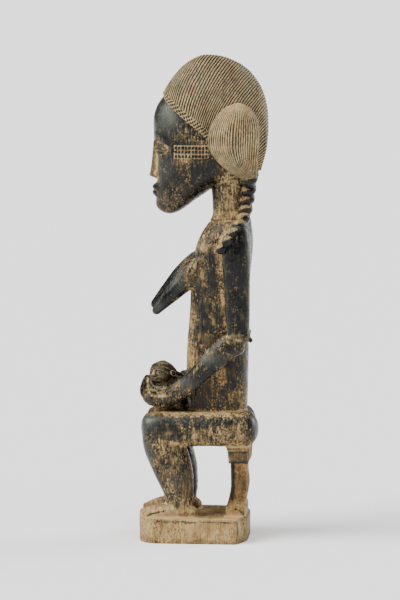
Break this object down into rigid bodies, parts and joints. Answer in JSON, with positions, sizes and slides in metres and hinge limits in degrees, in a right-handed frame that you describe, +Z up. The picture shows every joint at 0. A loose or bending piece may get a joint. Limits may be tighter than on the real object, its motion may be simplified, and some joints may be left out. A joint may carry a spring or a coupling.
{
  "type": "seated mother and child figure",
  "caption": "Carved wooden figure of a seated mother holding a child on her lap, on a stool post and an oblong plinth.",
  "frame": {"origin": "middle of the plinth's underside", "axes": "+Z up, she faces -Y, her left side is +X"},
  "size_m": [0.1056, 0.1344, 0.4997],
  "materials": {
    "carved_wood": "dark glossy patina worn to chalky tan dust"
  },
  "bodies": {
    "root": {"figure": "carved_wood"}
  },
  "joints": []
}
